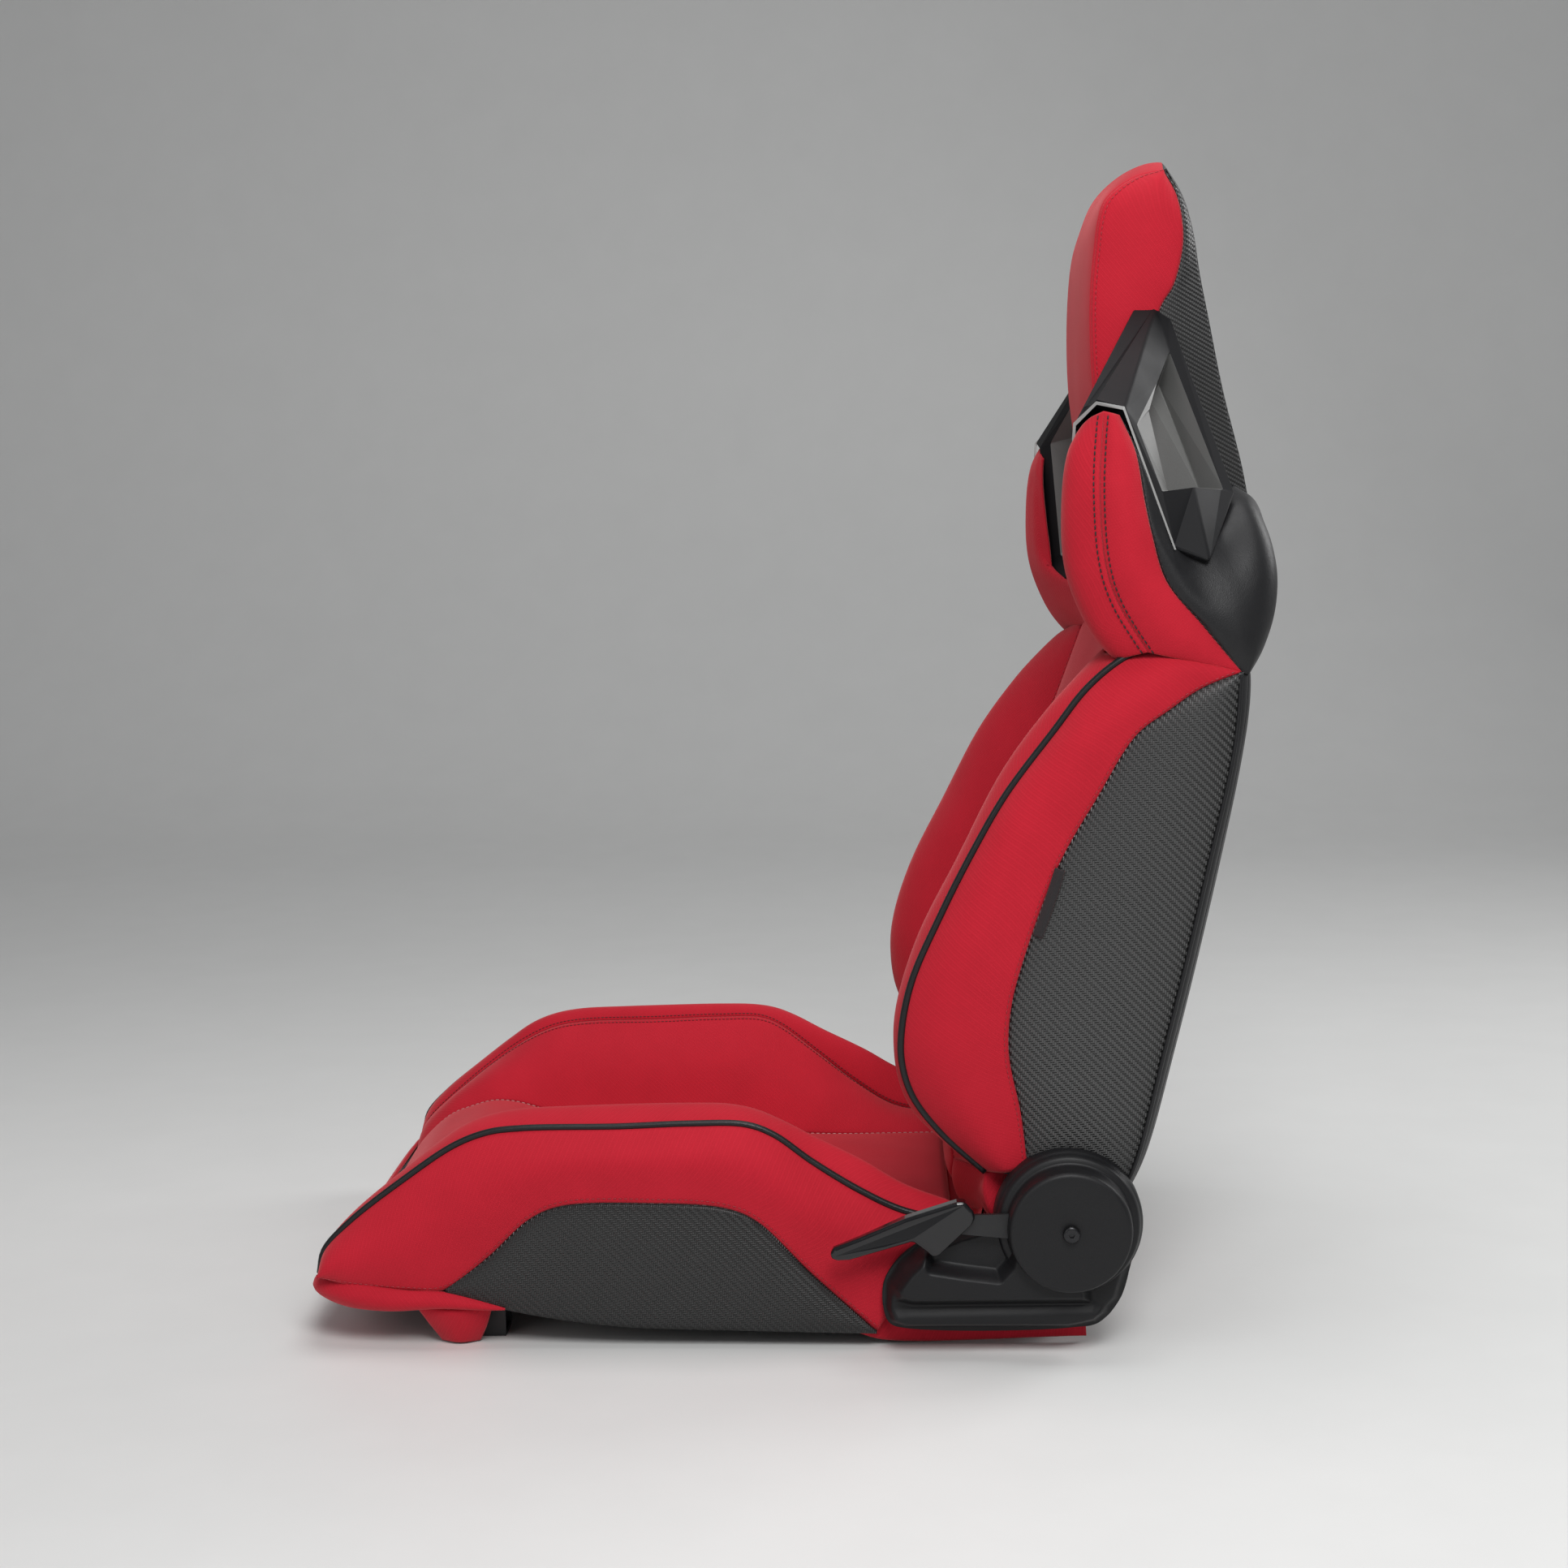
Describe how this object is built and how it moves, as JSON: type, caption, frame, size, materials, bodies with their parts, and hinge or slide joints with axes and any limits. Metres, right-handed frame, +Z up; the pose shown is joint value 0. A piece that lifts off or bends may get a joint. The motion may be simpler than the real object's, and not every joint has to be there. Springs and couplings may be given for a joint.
{
  "type": "racing seat",
  "caption": "Reclining bucket-style racing seat with tall bolsters, fixed headrest, harness openings, disc recliners and a side release lever.",
  "frame": {"origin": "on the floor plane, in the middle of the four mounting holes", "axes": "+Z up, the sitter faces -Y, +X is the sitter's left with the release lever"},
  "size_m": [0.596, 0.7403, 0.927],
  "materials": {
    "red_fabric": "matte",
    "carbon_vinyl": "satin",
    "black_steel": "satin",
    "plated_steel": "satin",
    "spring_steel": "satin",
    "textured_plastic": "matte",
    "gloss_plastic": "gloss",
    "tag_fabric": "matte"
  },
  "bodies": {
    "seat_base": {"mounting_feet": "black_steel", "weld_nuts": "plated_steel", "left_side_rail": "black_steel", "right_side_rail": "black_steel", "front_cross_tube": "black_steel", "rear_cross_tube": "black_steel", "seat_springs": "spring_steel", "seat_spring_clips": "plated_steel", "cushion_centre_pad": "red_fabric", "cushion_front_lip": "red_fabric", "left_cushion_bolster": "red_fabric", "right_cushion_bolster": "red_fabric", "left_recliner_bracket": "black_steel", "right_recliner_bracket": "black_steel", "bracket_spacers": "plated_steel", "bracket_bolts": "plated_steel", "bracket_nuts": "plated_steel", "left_recliner_housing": "plated_steel", "right_recliner_housing": "plated_steel", "spring_hubs": "plated_steel", "left_recline_spring": "spring_steel", "right_recline_spring": "spring_steel", "lever_return_spring": "spring_steel", "left_recliner_cover": "textured_plastic", "right_recliner_cover": "textured_plastic"},
    "release_lever": {"release_rod": "plated_steel", "cover_screws": "black_steel", "lever_arm": "black_steel", "lever_grip": "gloss_plastic", "left_release_cam": "plated_steel", "right_release_cam": "plated_steel"},
    "left_upper_pawl": {"left_upper_pawl": "plated_steel"},
    "left_lower_pawl": {"left_lower_pawl": "plated_steel"},
    "right_upper_pawl": {"right_upper_pawl": "plated_steel"},
    "right_lower_pawl": {"right_lower_pawl": "plated_steel"},
    "backrest": {"left_back_arm": "black_steel", "right_back_arm": "black_steel", "left_ring_gear": "plated_steel", "right_ring_gear": "plated_steel", "back_frame_tube": "black_steel", "lower_back_bar": "black_steel", "upper_back_bar": "black_steel", "back_arm_bolts": "plated_steel", "back_arm_nuts": "plated_steel", "back_springs": "spring_steel", "back_spring_clips": "plated_steel", "back_centre_pad": "red_fabric", "left_back_bolster": "red_fabric", "right_back_bolster": "red_fabric", "left_shoulder_wing": "red_fabric", "right_shoulder_wing": "red_fabric", "headrest_pad": "red_fabric", "headrest_rear_panel": "carbon_vinyl", "back_rear_panel": "carbon_vinyl", "left_harness_ring": "textured_plastic", "right_harness_ring": "textured_plastic", "seam_tag": "tag_fabric"}
  },
  "joints": [
    {"name": "recline", "type": "hinge", "parent": "seat_base", "child": "backrest", "pos_m": [0, 0.29, 0.103], "axis": [-1, 0, 0], "range_deg": [-25, 60]},
    {"name": "lever_lift", "type": "hinge", "parent": "seat_base", "child": "release_lever", "pos_m": [0, 0.29, 0.103], "axis": [-1, 0, 0], "range_deg": [0, 25], "stiffness_Nm_per_rad": 2, "springref_deg": -11.46},
    {"name": "left_upper_pawl_slide", "type": "slide", "parent": "seat_base", "child": "left_upper_pawl", "axis": [0, 0, -1], "range_m": [0, 0.0025]},
    {"name": "left_lower_pawl_slide", "type": "slide", "parent": "seat_base", "child": "left_lower_pawl", "axis": [0, 0, 1], "range_m": [0, 0.0025]},
    {"name": "right_upper_pawl_slide", "type": "slide", "parent": "seat_base", "child": "right_upper_pawl", "axis": [0, 0, -1], "range_m": [0, 0.0025]},
    {"name": "right_lower_pawl_slide", "type": "slide", "parent": "seat_base", "child": "right_lower_pawl", "axis": [0, 0, 1], "range_m": [0, 0.0025]}
  ],
  "couplings": [
    {"joint": "left_upper_pawl_slide", "follows": "lever_lift", "m_per_rad": 0.005729},
    {"joint": "left_lower_pawl_slide", "follows": "lever_lift", "m_per_rad": 0.005729},
    {"joint": "right_upper_pawl_slide", "follows": "lever_lift", "m_per_rad": 0.005729},
    {"joint": "right_lower_pawl_slide", "follows": "lever_lift", "m_per_rad": 0.005729}
  ]
}
